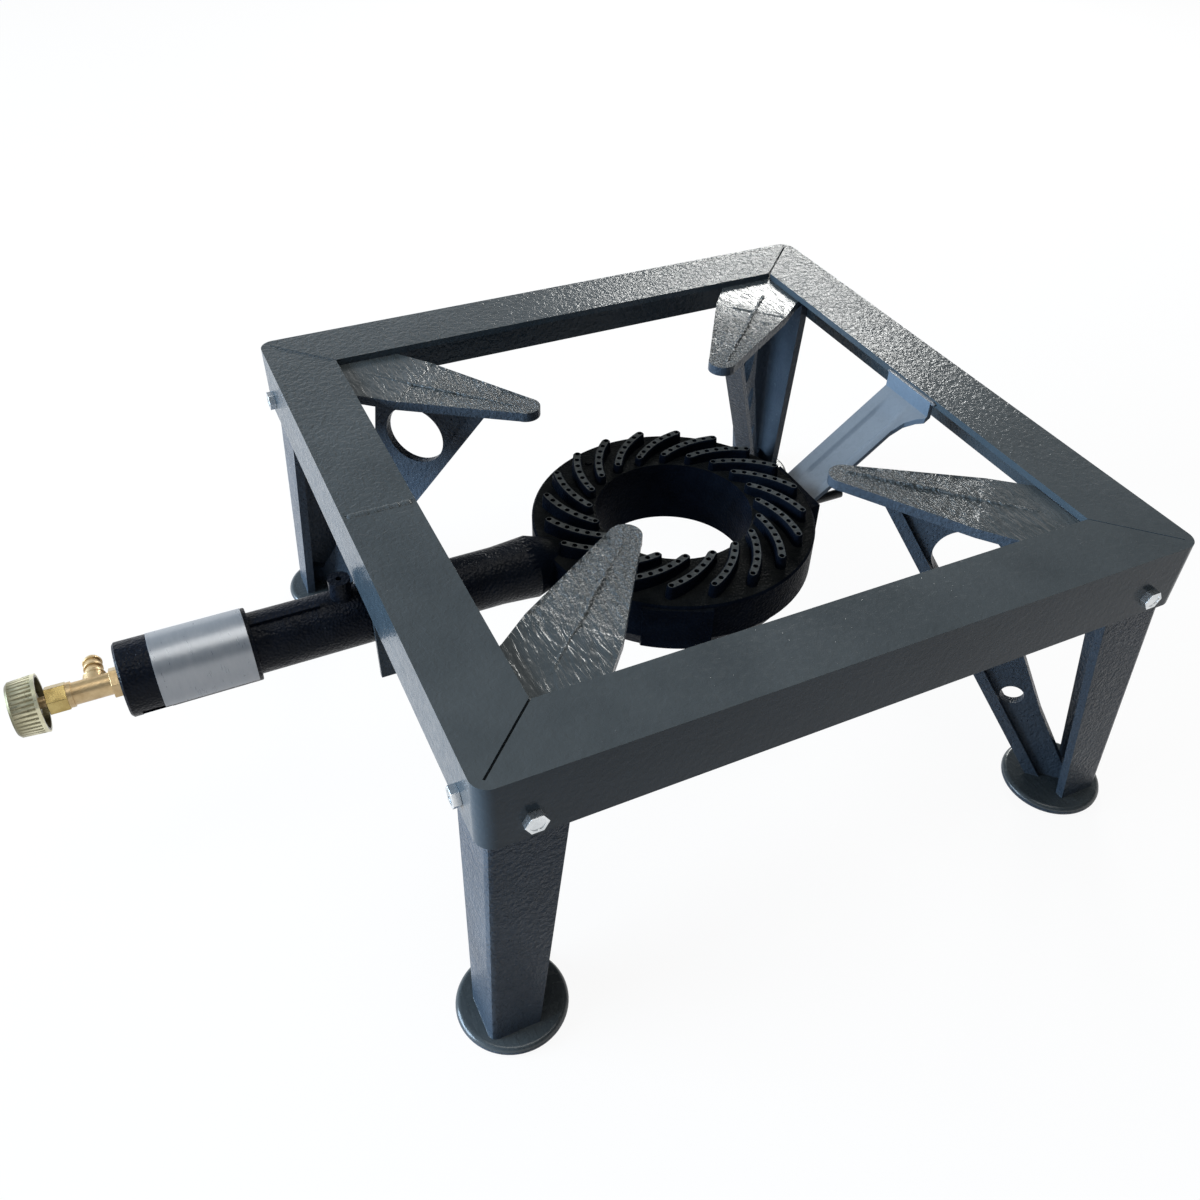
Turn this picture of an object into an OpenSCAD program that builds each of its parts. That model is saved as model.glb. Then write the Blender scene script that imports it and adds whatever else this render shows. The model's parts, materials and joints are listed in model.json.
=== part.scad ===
// Gas ring burner on a square angle-iron stand with four cast legs.
// Millimetres, +Z up, standing on the floor at Z = 0.
// The gas tube and its control knob leave through the left side, toward -X.

/* [Frame] */
// Outside length of each side of the square frame
frame_len = 400; // [384:2:424]
// Width of the frame's top flange and height of its skirt
rail_w = 40; // [36:1:42]
// Thickness of the frame's angle iron
rail_t = 4; // [3.5:0.5:5]
// Outside radius of the frame's upright corners
corner_r = 9; // [5:1:10]
// Height of the frame's top above the floor
stand_h = 200; // [196:2:230]
// Width of the open joints at the front left and back right mitres
mitre_gap = 1.2; // [0.6:0.1:1.6]

/* [Legs] */
// Thickness of a leg's two arms
arm_t = 5.5; // [5:0.5:6.5]
// Width of an arm where it leaves the frame
arm_top_w = 39.5; // [38:0.5:44]
// Width of an arm where it meets the foot
arm_low_w = 27; // [24:0.5:28]
// How far a leg's corner leans outward between frame and foot
arm_splay = 8; // [4:0.5:9]
// Thickness of the finger plate on top of a leg
finger_t = 6; // [5:0.5:7]
// Distance from the burner's axis to a finger's tip
finger_tip_d = 88; // [84:1:92]
// Radius of a finger's rounded tip
finger_tip_r = 9; // [8:0.5:10]
// Thickness of the upright web under a finger
web_t = 5.5; // [5:0.5:6.5]
// Width of the rim along the web's free edge
web_rim_w = 7; // [6:0.5:7]
// Thickness of that rim
web_rim_t = 12; // [9:0.5:13]
// Radius of the web's large hole
web_hole_r = 20; // [16:0.5:20]
// Radius of the web's middle hole
web_mid_hole_r = 11; // [9:0.5:11]
// Radius of the web's small hole
web_low_hole_r = 7; // [5:0.5:7]
// Radius of a leg's round foot
foot_r = 30; // [29:0.5:34]
// Thickness of a foot
foot_t = 6; // [5:0.5:8]

/* [Burner] */
// Outside radius of the ring burner
ring_r = 87; // [86:0.5:90]
// Radius of the hole through its middle
ring_hole_r = 48; // [46:0.5:48]
// Thickness of the ring's outer and inner walls
ring_wall = 5; // [4:0.5:5.5]
// Thickness of the deck above the gas chamber
deck_t = 5; // [4.5:0.5:6]
// Height of the upper casting's wall
ring_wall_h = 24.5; // [24:0.5:28]
// Height of the tapered lower ring
base_h = 14.5; // [12:0.5:16]
// Radius of the lower ring at its bottom
base_low_r = 78; // [76:0.5:80]
// How far the deck rises from its outer edge to the hole's lip
deck_rise = 3; // [1:0.5:4]
// Number of curved port ribs
rib_count = 20; // [16:1:20]
// Width of a port rib at its foot
rib_w = 7; // [6:0.25:7.5]
// Height of the rib tops above the deck's outer edge
rib_h = 8.5; // [7:0.25:10]
// Number of gas ports in a rib
port_count = 7; // [4:1:7]
// Radius of a gas port
port_r = 1.5; // [0.8:0.1:1.6]

/* [Gas tube] */
// Height of the tube's axis below the frame's top
tube_drop = 69; // [68:0.5:71]
// Outside radius of the mixer tube
tube_r = 17.2; // [16.5:0.1:17.6]
// Radius of the mixer tube's bore
tube_bore_r = 12.5; // [11:0.25:13]
// Outside radius of the end sleeve
sleeve_r = 20.4; // [19.6:0.1:21.4]
// Length of the end sleeve
sleeve_len = 68.5; // [66:0.5:72]
// How far the sleeve's end stands outside the frame
sleeve_out = 126.5; // [124:0.5:134]
// Length of the curved label plate
label_len = 49; // [44:0.5:50]
// Thickness of the label plate
label_t = 0.7; // [0.5:0.1:1]

/* [Valve] */
// Radius of the valve body
valve_r = 6; // [5.6:0.1:6.4]
// Length of the valve body outside the jam nut
valve_len = 21.5; // [21:0.5:25]
// Radius of the valve's threaded nose
nose_r = 4.5; // [4.3:0.1:4.8]
// Radius of the spindle
spindle_r = 3; // [2.8:0.1:3]
// Outside radius of the hose barb's ridges
barb_r = 5; // [4.6:0.05:5.2]
// Length of the hose barb from its seat on the valve body
barb_len = 15; // [14:0.5:19]

/* [Knob] */
// Radius of the knob at its open rim
knob_r = 15.6; // [14.5:0.1:17]
// Radius of the knob at its closed end
knob_end_r = 14.7; // [13.5:0.1:15]
// Depth of the knob from rim to closed end
knob_depth = 14.3; // [13:0.1:16]
// Thickness of the knob's wall
knob_wall = 1.8; // [1.6:0.1:2.2]
// Number of flutes round the knob
flute_count = 38; // [30:1:40]

/* [Strap and bracket] */
// Width of the rear strap
strap_w = 31; // [26:0.5:33]
// Thickness of the rear strap
strap_t = 3; // [2.5:0.25:4]
// Thickness of the tube bracket's strip
bracket_t = 3; // [2.5:0.25:4]
// Width of the tube bracket's strip along the tube
bracket_w = 25; // [22:0.5:28]

/* [Hidden] */
$fn = 96;
eps = 0.01;

// Clearances
// between a part that moves and one that does not
run_gap = 0.35;
// between a screw and its own thread
thread_gap = 0.05;
// between a bolt and the hole that it passes through
bolt_gap = 0.4;
// between the tube and the bracket round it
tube_gap = 0.8;
// glue under the label plate
glue_gap = 0.03;
// beside a weld bead in its groove
weld_gap = 0.02;

// Frame
half = frame_len / 2;
in_face = half - rail_t;
open_half = half - rail_w;
flange_z = stand_h - rail_t;
skirt_z = stand_h - rail_w;
diag = sqrt(2);
mitre_len = rail_w * diag - corner_r + 1.5;
corner_d = in_face * diag;
weld_w = 2.4;
weld_deep = 0.8;

// Leg bolts
bolt_r = 3;
bolt_af = 10;
bolt_head_h = 4;
bolt_nut_h = 5;
bolt_in = 21;
bolt_drop = 28;
bolt_at = in_face - bolt_in;
bolt_tail = 3.5;
bolt_hole_r = bolt_r + bolt_gap;

// Legs
foot_top = foot_t;
bend_z = skirt_z - 4;
splay_z = foot_top - 2;
low_face = in_face + arm_splay;
foot_at = low_face - 19;
finger_z = flange_z - finger_t;
relief_w = 1;
relief_deep = 0.5;
web_top_in = 158.4;
web_low_in = 31.4;
web_top_out = 79;
pocket_z = 22;
// inner edge of the web: distance from the corner line at a given height
function web_in_d(z) = corner_d - web_low_in
    - (web_top_in - web_low_in) * (z - foot_top) / (finger_z - foot_top);

// Burner levels
deck_z = stand_h - 58.5;
seam_z = deck_z - ring_wall_h;
base_z = seam_z - base_h;
rib_top_z = deck_z + rib_h;
lip_z = deck_z + deck_rise;
ceil_z = deck_z - deck_t;
floor_z = base_z + 4.5;
chamber_out = ring_r - ring_wall;
chamber_in = ring_hole_r + ring_wall;
seam_r = ring_r - 1;

// Curved ribs: an arc from the outer end to the inner end
rib_out_r = ring_r - 9;
rib_in_r = ring_hole_r + 4;
rib_sweep = 26.4;
rib_turn = 6.9;
rib_bend_r = 62;
rib_draft = 0.7;
rib_end_step = 0.2;
ax = rib_out_r;
ay = 0;
bx = rib_in_r * cos(rib_sweep);
by = rib_in_r * sin(rib_sweep);
chord = sqrt((bx - ax) * (bx - ax) + (by - ay) * (by - ay));
rise_d = sqrt(rib_bend_r * rib_bend_r - chord * chord / 4);
arc_x = (ax + bx) / 2 + (ay - by) / chord * rise_d;
arc_y = (ay + by) / 2 + (bx - ax) / chord * rise_d;
arc_from = atan2(ay - arc_y, ax - arc_x);
arc_to = atan2(by - arc_y, bx - arc_x);
rib_foot_z = deck_z - 1;

// Screws of the lower ring
base_screw_count = 4;
base_screw_r = 2.5;
base_screw_head_r = 4.3;
base_screw_head_h = 2.6;
base_screw_d = (chamber_out + chamber_in) / 2;
base_screw_turn = 19.2 + 360 / rib_count / 2 + 360 / rib_count;
boss_r = 4.8;

// Gas tube
tube_z = stand_h - tube_drop;
sleeve_x0 = -(half + sleeve_out);
sleeve_x1 = sleeve_x0 + sleeve_len;
end_wall = 5;
sleeve_bore_r = sleeve_r - 3.6;
hump_x = -(ring_r + 8);
boss_x = -(half + 7);
boss_pad_r = 6.1;
window_x = sleeve_x0 + end_wall + 8;
window_len = 15;
window_w = 11;
boss_hole_r = 1.7;
boss_hole_deep = 7;
label_x = sleeve_x0 + sleeve_len / 2 + 7.5;
label_low = -26;
label_high = 118;

// Valve, from the sleeve outward
jam_h = 5;
jam_af = 14.5;
valve_x1 = sleeve_x0 - jam_h;
valve_x0 = valve_x1 - valve_len;
nose_end = sleeve_x0 + end_wall + 4.5;
seat_x = valve_x1 - 3.5;
chamber_r = spindle_r + run_gap + 0.25;
seat_r = 1.2;
barb_x = seat_x - 4;
barb_in = chamber_r + 0.6;
barb_seat = valve_r + 1.5;
barb_root_r = barb_r - 1.15;
barb_bore_r = 2.2;
barb_thread_r = 3.2;
barb_land = 1;
barb_collar_r = barb_r + 0.9;
barb_collar_h = 1.2;
barb_first = 1.9;
barb_tip = 3.5;
barb_pitch = (barb_len - barb_first - barb_tip) / 2;
neck_len = 6;
neck_r = 4.8;
pack_h = 10;
pack_af = 13.5;
pack_x0 = valve_x0 - pack_h;
packing_t = 2;

// Knob and spindle
knob_gap = 2.2;
rim_x = pack_x0 - knob_gap;
knob_end_x = rim_x - knob_depth;
hub_r = 6.2;
hub_bore_r = spindle_r + run_gap;
spindle_end_x = knob_end_x + knob_wall + 1.2;
knob_screw_r = 1.25;
knob_screw_head_r = 2.6;
flute_r = 0.75;

// Strap, lug and its bolt
strap_y = -4;
strap_front = strap_y - strap_w / 2;
strap_back = strap_y + strap_w / 2;
flare = 11;
tab_x = open_half - strap_t;
tab_top_z = stand_h - 0.8;
tab_low_z = stand_h - 11;
lug_y = -4;
lug_w = 46;
lug_x = ring_r + 3;
lip_top_z = deck_z - 3.5;
lip_low_z = lip_top_z - 22;
strap_slope = (tab_low_z - lip_top_z) / (tab_x - lug_x);
strap_rise = strap_t * sqrt(1 + strap_slope * strap_slope);
strap_bolt_y = -11;
strap_bolt_z = lip_top_z - 8;
strap_nut_h = 4.5;
strap_bolt_in = 8;
strap_bolt_out = 25;

// Tube bracket
bracket_in = tube_r + tube_gap;
bracket_x0 = -in_face;
bracket_low_z = tube_z - 33;
bracket_top_z = flange_z - 6;
bracket_bolt_z = tube_z - tube_r - bolt_r - thread_gap;
bracket_bolt_x = bracket_x0 + bracket_w / 2;

// The whole stove is centred on the length from knob to foot
foot_reach = foot_at + foot_r;
shift_x = (-knob_end_x - foot_reach) / 2;

// Colours
iron = [0.29, 0.32, 0.34];
black_iron = [0.09, 0.09, 0.10];
zinc = [0.80, 0.82, 0.84];
brass = [0.80, 0.72, 0.50];
nickel = [0.60, 0.60, 0.54];
silver = [0.82, 0.84, 0.87];

// Helpers

module placed() {
    translate([shift_x, 0, 0]) children();
}

// a cylinder along +X that starts at x on the tube's axis
module tube_part(x, len, r1, r2) {
    translate([x, 0, tube_z]) rotate([0, 90, 0]) cylinder(h = len, r1 = r1, r2 = r2);
}

// puts a child at the hose barb, its +Z pointing to the back from the tube's axis
module at_barb() {
    translate([barb_x, 0, tube_z]) rotate([-90, 0, 0]) children();
}

// a hexagonal bar along +Z, from z = 0
module hex_bar(af, h) {
    cylinder(h = h, r = af / 2 / cos(30), $fn = 6);
}

module rounded_square(w, r) {
    square([w - 2 * r, w], center = true);
    square([w, w - 2 * r], center = true);
    for (sx = [-1, 1], sy = [-1, 1]) {
        translate([sx * (w / 2 - r), sy * (w / 2 - r)]) circle(r = r);
    }
}

// puts a child at every skirt bolt, its +Z pointing out of the frame
module at_leg_bolts() {
    for (side = [0:3]) {
        for (s = [-1, 1]) {
            rotate([0, 0, 90 * side])
                translate([s * bolt_at, -half, stand_h - bolt_drop])
                    rotate([90, 0, 0]) children();
        }
    }
}

// Frame

module top_frame() placed() color(iron) difference() {
    union() {
        translate([0, 0, flange_z]) linear_extrude(rail_t) difference() {
            rounded_square(frame_len, corner_r);
            square(2 * open_half, center = true);
        }
        translate([0, 0, skirt_z]) linear_extrude(rail_w) difference() {
            rounded_square(frame_len, corner_r);
            square(2 * in_face, center = true);
        }
    }
    // open mitres at the front left and back right corners
    for (turn = [45, 225]) {
        rotate([0, 0, turn])
            translate([open_half * diag - 1, -mitre_gap / 2, flange_z - 1])
                cube([mitre_len, mitre_gap, rail_t + 2]);
    }
    // closed mitre lines at the other two corners
    for (turn = [135, 315]) {
        rotate([0, 0, turn])
            translate([open_half * diag - 1, -0.3, stand_h - 0.5])
                cube([mitre_len, 0.6, 2]);
    }
    // grooves that the weld beads fill
    rail_weld_at() cube([rail_w - 3, weld_w, weld_deep + 1]);
    corner_weld_at() cube([rail_w, weld_w, weld_deep + 1]);
    at_leg_bolts() translate([0, 0, -rail_t - 1]) cylinder(h = rail_t + 2, r = bolt_hole_r);
}

module rail_weld_at() {
    translate([-half + 1.5, -3, stand_h - weld_deep]) children();
}

module corner_weld_at() {
    rotate([0, 0, 135]) translate([open_half * diag + 2, 1, stand_h - weld_deep]) children();
}

// a bead along +X whose crown is level with the top of its groove
module weld_bead(len) {
    crown_r = weld_w * 0.8;
    intersection() {
        translate([0, weld_gap, 0]) cube([len, weld_w - 2 * weld_gap, weld_deep]);
        translate([-1, weld_w / 2, weld_deep - crown_r])
            rotate([0, 90, 0]) cylinder(h = len + 2, r = crown_r);
    }
}

module frame_weld() placed() color(iron) {
    rail_weld_at() weld_bead(rail_w - 3);
    corner_weld_at() weld_bead(rail_w);
}

// Legs
// A leg is drawn for the corner at +X +Y.

// profile of one arm: runs down inside the skirt, then leans out to the foot
module arm_side() {
    polygon([
        [in_face - arm_t, flange_z],
        [in_face, flange_z],
        [in_face, bend_z],
        [low_face, splay_z],
        [low_face - arm_t, splay_z],
        [in_face - arm_t, bend_z]
    ]);
}

// outline of the same arm seen along the other rail
module arm_front() {
    polygon([
        [in_face - arm_top_w, flange_z],
        [in_face, flange_z],
        [in_face, bend_z],
        [low_face, splay_z],
        [low_face - arm_low_w, splay_z],
        [in_face - arm_top_w, bend_z]
    ]);
}

module leg_arm() {
    intersection() {
        rotate([90, 0, 0])
            translate([0, 0, -low_face - 10]) linear_extrude(low_face + 10) arm_side();
        rotate([90, 0, 90]) linear_extrude(low_face + 10) arm_front();
    }
}

// the finger plate, drawn along +X from the burner to the corner
module finger_outline() {
    tip_u = finger_tip_d + finger_tip_r;
    wide_u = corner_d - 105;
    neck_u = corner_d - 82;
    back_u = (in_face - arm_t) * diag;
    arm_u = back_u - 38;
    translate([tip_u, 0]) circle(r = finger_tip_r);
    polygon([
        [tip_u, -finger_tip_r],
        [wide_u, -24.9],
        [neck_u, -27],
        [arm_u, -36],
        [back_u - 36, -36],
        [back_u, 0],
        [back_u - 36, 36],
        [arm_u, 36],
        [neck_u, 27],
        [wide_u, 24.9],
        [tip_u, finger_tip_r]
    ]);
}

// the diagonal web, drawn in the plane of the diagonal and height
module web_outline() {
    polygon([
        [web_in_d(finger_z + 1), finger_z + 1],
        [corner_d - web_top_out, finger_z + 1],
        [corner_d - 77, finger_z - 14],
        [corner_d - 70, stand_h - 79],
        [corner_d - 55.5, stand_h - 104],
        [corner_d - 36, stand_h - 142],
        [corner_d - 13, pocket_z - 2],
        [(in_face + arm_splay * 0.8) * diag - 2, pocket_z - 6],
        [(low_face - arm_t / 2) * diag, splay_z],
        [web_in_d(splay_z), splay_z]
    ]);
}

module web_rim_outline() {
    rim = web_rim_w * 1.215;
    polygon([
        [web_in_d(finger_z + 1), finger_z + 1],
        [web_in_d(finger_z + 1) + rim, finger_z + 1],
        [web_in_d(splay_z) + rim, splay_z],
        [web_in_d(splay_z), splay_z]
    ]);
}

module web_holes() {
    translate([corner_d - 103.2, stand_h - 42]) circle(r = web_hole_r);
    translate([corner_d - 81.2, stand_h - 90]) circle(r = web_mid_hole_r);
    translate([corner_d - 55.2, stand_h - 134]) circle(r = web_low_hole_r);
}

module leg_casting() difference() {
    union() {
        leg_arm();
        mirror([1, -1, 0]) leg_arm();
        rotate([0, 0, 45]) {
            translate([0, 0, finger_z]) linear_extrude(finger_t) finger_outline();
            rotate([90, 0, 0]) {
                translate([0, 0, -web_t / 2]) linear_extrude(web_t) difference() {
                    web_outline();
                    web_holes();
                }
                translate([0, 0, -web_rim_t / 2]) linear_extrude(web_rim_t) difference() {
                    web_rim_outline();
                    web_holes();
                }
            }
        }
        translate([foot_at, foot_at, 0]) foot_disc();
    }
    leg_bolt_bores();
    // relief on the finger plate along the frame's inner edges
    translate([0, open_half - relief_w, flange_z - relief_deep])
        cube([half, relief_w, relief_deep + 1]);
    translate([open_half - relief_w, 0, flange_z - relief_deep])
        cube([relief_w, half, relief_deep + 1]);
}

// a flat disc with a full round edge
module foot_disc() {
    rotate_extrude() {
        square([foot_r - foot_t / 2, foot_t]);
        intersection() {
            translate([foot_r - foot_t / 2, foot_t / 2]) circle(r = foot_t / 2);
            square([foot_r + 1, foot_t]);
        }
    }
}

module leg_bolt_bores() {
    bore_z = stand_h - bolt_drop;
    translate([in_face - arm_t - 1, bolt_at, bore_z])
        rotate([0, 90, 0]) cylinder(h = arm_t + 2, r = bolt_hole_r);
    translate([bolt_at, in_face + 1, bore_z])
        rotate([90, 0, 0]) cylinder(h = arm_t + 2, r = bolt_hole_r);
}

module leg_front_left() placed() color(iron) rotate([0, 0, 180]) leg_casting();

module leg_front_right() placed() color(iron) rotate([0, 0, 270]) leg_casting();

module leg_back_right() placed() color(iron) leg_casting();

module leg_back_left() placed() color(iron) rotate([0, 0, 90]) leg_casting();

module leg_bolts() placed() color(zinc) at_leg_bolts() {
    difference() {
        hex_bar(bolt_af, bolt_head_h);
        // shallow round recess in the head
        translate([0, 0, bolt_head_h - 0.4]) cylinder(h = 1, r = bolt_af / 2 - 1.4);
    }
    translate([0, 0, -rail_t - arm_t - bolt_nut_h - bolt_tail])
        cylinder(h = rail_t + arm_t + bolt_nut_h + bolt_tail + 1, r = bolt_r);
}

module leg_nuts() placed() color(zinc) at_leg_bolts() {
    translate([0, 0, -rail_t - arm_t - bolt_nut_h]) difference() {
        hex_bar(bolt_af, bolt_nut_h);
        translate([0, 0, -1]) cylinder(h = bolt_nut_h + 2, r = bolt_r + thread_gap);
    }
}

// Burner

// half section of the upper ring, open below
module ring_section() {
    polygon([
        [ring_hole_r, seam_z],
        [ring_hole_r, lip_z],
        [ring_hole_r + 1.5, lip_z],
        [ring_r - 1.2, deck_z],
        [ring_r, deck_z - 1.2],
        [ring_r, seam_z],
        [chamber_out, seam_z],
        [chamber_out, ceil_z],
        [chamber_in, ceil_z],
        [chamber_in, seam_z]
    ]);
}

// half section of a rib about its arc's centre
module rib_section() {
    polygon([
        [rib_bend_r - rib_w / 2, rib_foot_z],
        [rib_bend_r + rib_w / 2, rib_foot_z],
        [rib_bend_r + rib_w / 2 - rib_draft, rib_top_z - 0.6],
        [rib_bend_r + rib_w / 2 - rib_draft - 0.6, rib_top_z],
        [rib_bend_r - rib_w / 2 + rib_draft + 0.6, rib_top_z],
        [rib_bend_r - rib_w / 2 + rib_draft, rib_top_z - 0.6]
    ]);
}

// rounded end of a rib, a little narrower than the rib itself
module rib_end() {
    end_r = rib_w / 2 - rib_end_step;
    rotate_extrude() polygon([
        [0, rib_foot_z],
        [end_r, rib_foot_z],
        [end_r - rib_draft, rib_top_z - 0.6],
        [end_r - rib_draft - 0.6, rib_top_z],
        [0, rib_top_z]
    ]);
}

module port_rib() {
    translate([arc_x, arc_y, 0]) {
        rotate([0, 0, arc_from]) rotate_extrude(angle = arc_to - arc_from) rib_section();
        for (a = [arc_from, arc_to]) {
            translate([rib_bend_r * cos(a), rib_bend_r * sin(a), 0]) rib_end();
        }
    }
}

module rib_ports() {
    for (i = [0:port_count - 1]) {
        a = arc_from + (arc_to - arc_from) * i / (port_count - 1);
        translate([arc_x + rib_bend_r * cos(a), arc_y + rib_bend_r * sin(a), ceil_z - 1])
            cylinder(h = rib_top_z - ceil_z + 2, r = port_r);
    }
}

// flat pad on the ring's wall, at the front
module wall_pad(z, h) {
    rotate([0, 0, -116]) translate([chamber_out + 1, -20, z])
        cube([ring_r + 1.5 - chamber_out - 1, 40, h]);
}

module wall_lug(z, h) {
    translate([chamber_out - 4, lug_y - lug_w / 2, z])
        cube([lug_x - chamber_out + 4, lug_w, h]);
}

module chamber_fill() {
    translate([0, 0, base_z - 1]) cylinder(h = deck_z - base_z, r = chamber_out);
}

module mixer_tube_outside() {
    tube_part(sleeve_x1 - 1, -sleeve_x1 + 1 + hump_x, tube_r, tube_r);
    // widening and gusset where the tube meets the ring
    tube_part(hump_x - 22, 22, tube_r, tube_r + 1.6);
    tube_part(hump_x, 26, tube_r + 1.6, tube_r - 7);
    // sleeve with a chamfered end
    tube_part(sleeve_x0, 1.2, sleeve_r - 1.2, sleeve_r);
    tube_part(sleeve_x0 + 1.2, sleeve_len - 1.7, sleeve_r, sleeve_r);
    tube_part(sleeve_x1 - 0.5, 0.5, sleeve_r, sleeve_r - 0.5);
    // raised ribs behind the sleeve, on the parting line
    for (a = [12, 192]) {
        translate([sleeve_x1 - 1, 0, tube_z]) rotate([a, 0, 0])
            translate([0, -1.6, tube_r - 2]) cube([39, 3.2, 4.2]);
    }
    // boss for the blind hole on top
    translate([boss_x, 0, tube_z]) cylinder(h = tube_drop - rail_w, r = boss_pad_r);
}

module mixer_tube_inside() {
    tube_part(sleeve_x0 + end_wall, sleeve_len - end_wall - 4, sleeve_bore_r, sleeve_bore_r);
    tube_part(sleeve_x1 - 4 - eps, 10, sleeve_bore_r, tube_bore_r);
    tube_part(sleeve_x1 + 5, hump_x - 12 - sleeve_x1 - 5, tube_bore_r, tube_bore_r);
    tube_part(hump_x - 12 - eps, 14, tube_bore_r, 8.5);
    tube_part(hump_x + 2 - 2 * eps, 14, 8.5, 8.5);
    // threaded hole for the valve's nose
    tube_part(sleeve_x0 - 1, end_wall + 2, nose_r + thread_gap, nose_r + thread_gap);
    // air windows, low on both sides
    for (a = [130, 230]) {
        translate([window_x, 0, tube_z]) rotate([a, 0, 0])
            translate([-window_len / 2, -window_w / 2, 0])
                cube([window_len, window_w, sleeve_r + 2]);
    }
    translate([boss_x, 0, skirt_z - boss_hole_deep])
        cylinder(h = boss_hole_deep + 1, r = boss_hole_r);
}

module burner_body() placed() color(black_iron) difference() {
    union() {
        rotate_extrude() ring_section();
        for (i = [0:rib_count - 1]) {
            rotate([0, 0, rib_turn + 360 / rib_count * i]) port_rib();
        }
        difference() {
            union() {
                wall_pad(seam_z, ring_wall_h - 1.5);
                wall_lug(seam_z, ring_wall_h - 2);
                mixer_tube_outside();
            }
            chamber_fill();
            // room for the lower ring under the tube
            translate([0, 0, base_z - 20])
                cylinder(h = seam_z - base_z + 20, r = seam_r + bolt_gap);
        }
        for (i = [0:base_screw_count - 1]) {
            rotate([0, 0, base_screw_turn + 360 / base_screw_count * i])
                translate([base_screw_d, 0, seam_z]) cylinder(h = ceil_z - seam_z + 1, r = boss_r);
        }
        // small square pad and a round nub on the deck
        translate([-17, -67, deck_z - 1]) rotate([0, 0, 14]) cube([8, 8, 2.6], center = true);
        translate([-26, 68, deck_z - 1]) cylinder(h = 3.4, r1 = 3, r2 = 2.2);
    }
    for (i = [0:rib_count - 1]) {
        rotate([0, 0, rib_turn + 360 / rib_count * i]) rib_ports();
    }
    mixer_tube_inside();
    for (i = [0:base_screw_count - 1]) {
        rotate([0, 0, base_screw_turn + 360 / base_screw_count * i])
            translate([base_screw_d, 0, seam_z - 1])
                cylinder(h = 14, r = base_screw_r + thread_gap);
    }
    translate([lug_x - strap_bolt_in, strap_bolt_y, strap_bolt_z])
        rotate([0, 90, 0]) cylinder(h = strap_bolt_in + 1, r = bolt_r + thread_gap);
}

module burner_base() placed() color(black_iron) difference() {
    union() {
        rotate_extrude() polygon([
            [ring_hole_r, base_z],
            [base_low_r, base_z],
            [seam_r, seam_z],
            [chamber_out, seam_z],
            [base_low_r - 3, floor_z],
            [chamber_in, floor_z],
            [chamber_in, seam_z],
            [ring_hole_r, seam_z]
        ]);
        difference() {
            intersection() {
                union() {
                    rotate([0, 0, -116]) translate([base_low_r - 4, -20, base_z])
                        cube([ring_r + 1.5 - base_low_r + 4, 40, base_h]);
                    translate([base_low_r - 8, lug_y - lug_w / 2, base_z])
                        cube([lug_x - base_low_r + 8, lug_w, base_h]);
                }
                // pad and lug run out into the taper below
                translate([0, 0, base_z])
                    cylinder(h = base_h, r1 = base_low_r + 1, r2 = lug_x + 5);
            }
            translate([0, 0, base_z - 1])
                cylinder(h = base_h + 2, r1 = base_low_r - 4, r2 = chamber_out);
        }
        for (i = [0:base_screw_count - 1]) {
            rotate([0, 0, base_screw_turn + 360 / base_screw_count * i])
                translate([base_screw_d, 0, floor_z - 1])
                    cylinder(h = seam_z - floor_z + 1, r = boss_r + 1.2);
        }
    }
    for (i = [0:base_screw_count - 1]) {
        rotate([0, 0, base_screw_turn + 360 / base_screw_count * i])
            translate([base_screw_d, 0, base_z - 1])
                cylinder(h = base_h + 2, r = base_screw_r + bolt_gap);
    }
}

module base_screws() placed() color(zinc) {
    for (i = [0:base_screw_count - 1]) {
        rotate([0, 0, base_screw_turn + 360 / base_screw_count * i])
            translate([base_screw_d, 0, base_z]) {
                difference() {
                    translate([0, 0, -base_screw_head_h])
                        cylinder(h = base_screw_head_h, r1 = base_screw_head_r - 0.8,
                            r2 = base_screw_head_r);
                    translate([-0.6, -base_screw_head_r - 1, -base_screw_head_h - 1])
                        cube([1.2, 2 * base_screw_head_r + 2, 2]);
                }
                translate([0, 0, -0.5]) cylinder(h = base_h + 12, r = base_screw_r);
            }
    }
}

// Strap from the right rail to the burner's lug

module strap_side() {
    polygon([
        [tab_x, tab_top_z],
        [tab_x, tab_low_z],
        [lug_x, lip_top_z],
        [lug_x, lip_low_z],
        [lug_x + strap_t, lip_low_z],
        [lug_x + strap_t, lip_top_z + strap_slope * strap_t - strap_rise],
        [open_half, tab_low_z + strap_slope * strap_t - strap_rise],
        [open_half, tab_top_z]
    ]);
}

// width of the strap: its front edge flares out toward the tab
module strap_plan() {
    polygon([
        [lug_x - 1, strap_front],
        [tab_x - 16, strap_front],
        [tab_x - 9, strap_front - 0.2 * flare],
        [tab_x - 4, strap_front - 0.62 * flare],
        [tab_x - 1, strap_front - flare],
        [open_half + 1, strap_front - flare],
        [open_half + 1, strap_back],
        [lug_x - 1, strap_back]
    ]);
}

module rear_strap() placed() color(iron) difference() {
    intersection() {
        translate([0, 2 * strap_w, 0]) rotate([90, 0, 0])
            linear_extrude(4 * strap_w) strap_side();
        translate([0, 0, lip_low_z - 1])
            linear_extrude(stand_h - lip_low_z) strap_plan();
    }
    translate([lug_x - 1, strap_bolt_y, strap_bolt_z])
        rotate([0, 90, 0]) cylinder(h = strap_t + 2, r = bolt_r + bolt_gap);
}

module strap_bolt() placed() color(black_iron) {
    translate([lug_x - strap_bolt_in + 1, strap_bolt_y, strap_bolt_z])
        rotate([0, 90, 0])
            cylinder(h = strap_bolt_in - 1 + strap_t + strap_bolt_out, r = bolt_r);
}

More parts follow.
